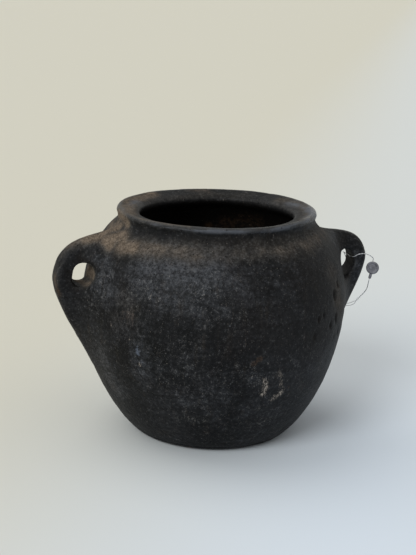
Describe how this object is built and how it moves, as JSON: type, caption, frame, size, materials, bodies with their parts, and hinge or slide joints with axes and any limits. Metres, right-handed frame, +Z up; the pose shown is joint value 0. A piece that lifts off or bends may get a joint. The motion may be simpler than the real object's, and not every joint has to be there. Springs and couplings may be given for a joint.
{
  "type": "ceramic pot",
  "caption": "Squat round-bellied black earthenware pot with a flared rim, pierced ear handles and a lead seal hanging on a loop of thin wire from one handle.",
  "frame": {"origin": "middle of the flat underside of the base, on the pot's axis", "axes": "+Z up the pot's axis, +X towards the handle that carries the seal, -Y towards the side that the seal faces"},
  "size_m": [0.2953, 0.233, 0.2],
  "materials": {
    "clay": "smoke-blackened and burnished earthenware, worn, with brown and pale grey dust in the pores",
    "wire": "dull galvanised steel",
    "lead": "dull grey pressed lead"
  },
  "bodies": {
    "pot": {"base_slab": "clay", "lower_wall": "clay", "belly_wall": "clay", "shoulder_wall": "clay", "rim_collar": "clay", "left_handle": "clay", "right_handle": "clay"},
    "seal_tag": {"seal_wire": "wire", "lead_seal": "lead"}
  },
  "joints": [
    {"name": "seal_swing", "type": "hinge", "parent": "pot", "child": "seal_tag", "pos_m": [0.12661, 0, 0.1515], "axis": [0, -1, 0], "range_deg": [0, 90]}
  ]
}
